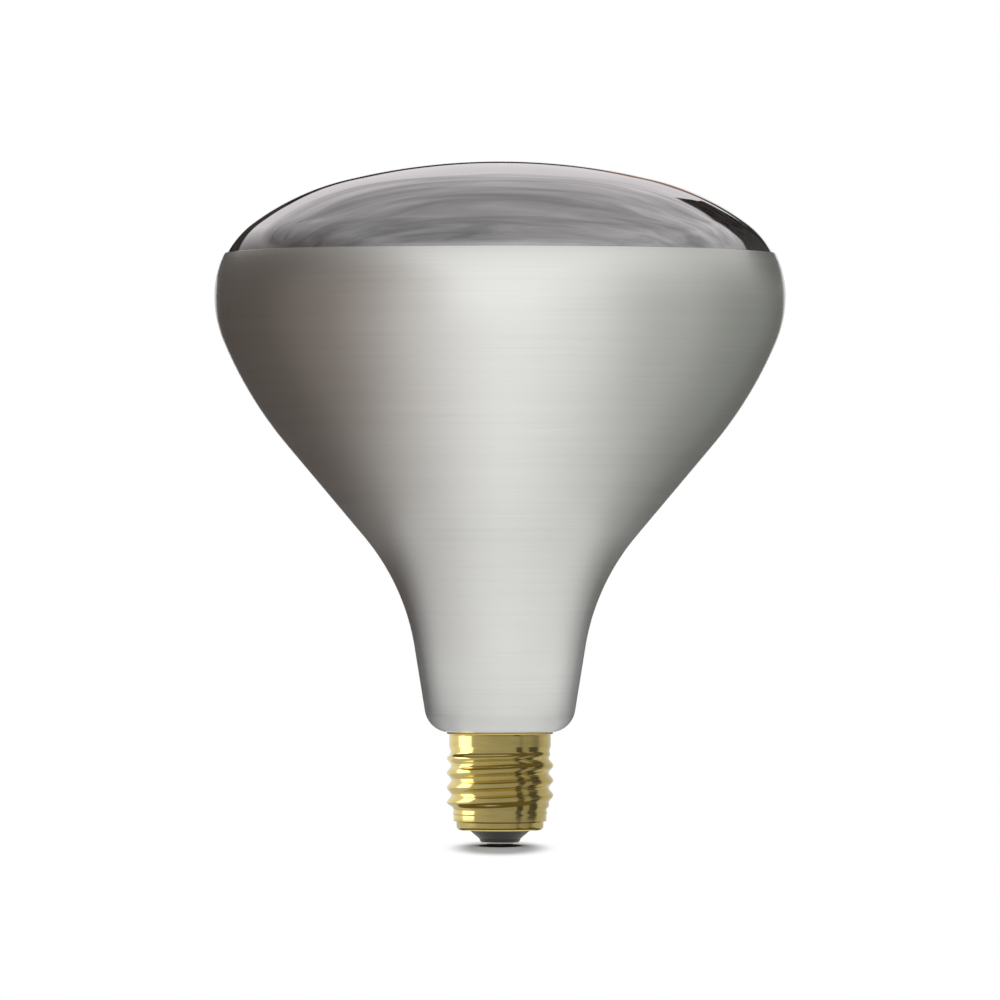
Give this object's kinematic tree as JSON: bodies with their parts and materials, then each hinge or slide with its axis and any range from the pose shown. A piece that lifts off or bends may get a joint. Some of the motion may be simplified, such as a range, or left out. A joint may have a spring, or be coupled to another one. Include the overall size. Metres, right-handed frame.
{
  "type": "reflector bulb",
  "caption": "Mushroom-shaped reflector bulb with a mirrored crown, a brushed silver body and a screw cap, for lighting a room or a display from a standard lamp holder.",
  "frame": {"origin": "tip of the centre contact, on the bulb's axis", "axes": "+Z along the bulb's axis from the cap up to the crown; +X and +Y across it"},
  "size_m": [0.14, 0.14, 0.1676],
  "materials": {
    "brushed_silver": "fine brushed metal coat under clear lacquer, with a smoky mirrored crown",
    "gold_shell": "polished",
    "black_insulator": "satin black",
    "contact_metal": "plain polished"
  },
  "bodies": {
    "root": {"glass_envelope": "brushed_silver", "screw_shell": "gold_shell", "insulator": "black_insulator", "centre_contact": "contact_metal"}
  },
  "joints": []
}
